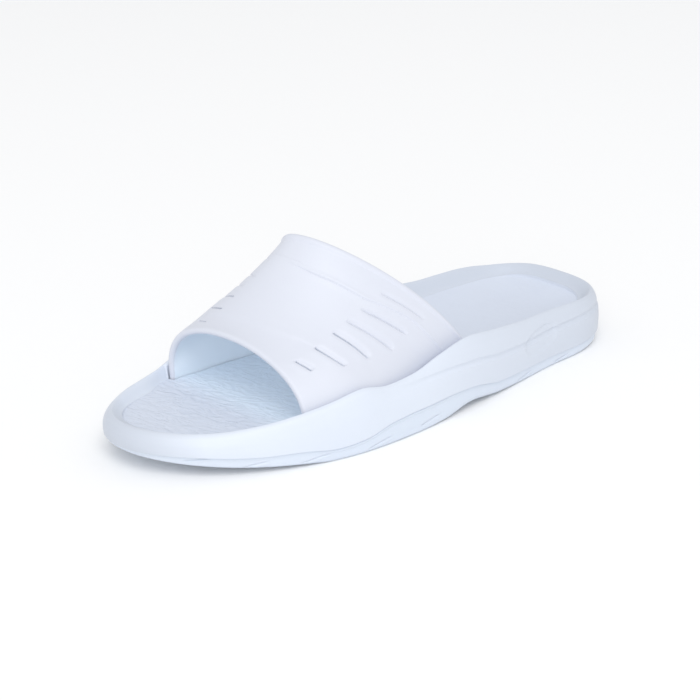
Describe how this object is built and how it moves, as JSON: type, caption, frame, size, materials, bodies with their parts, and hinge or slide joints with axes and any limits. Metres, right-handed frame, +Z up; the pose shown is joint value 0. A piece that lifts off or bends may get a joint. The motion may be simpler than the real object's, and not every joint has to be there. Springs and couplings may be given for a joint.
{
  "type": "sport slide sandal",
  "caption": "Left sport slide sandal of moulded foam: waved sole with a rolled rim and a footbed, and a wide closed strap with louvre slots over the instep.",
  "frame": {"origin": "on the ground, halfway along and across the shoe's box", "axes": "+Y towards the heel, -Y towards the toe, +X towards the outer side of the foot, +Z up"},
  "size_m": [0.1118, 0.2799, 0.0832],
  "materials": {
    "outsole": "matt pale moulded foam rubber",
    "midsole": "satin pale moulded foam",
    "footbed": "matt pale foam with fine massage ridges",
    "strap": "satin pale moulded foam"
  },
  "bodies": {
    "root": {"outsole": "outsole", "midsole": "midsole", "footbed": "footbed", "strap": "strap"}
  },
  "joints": []
}
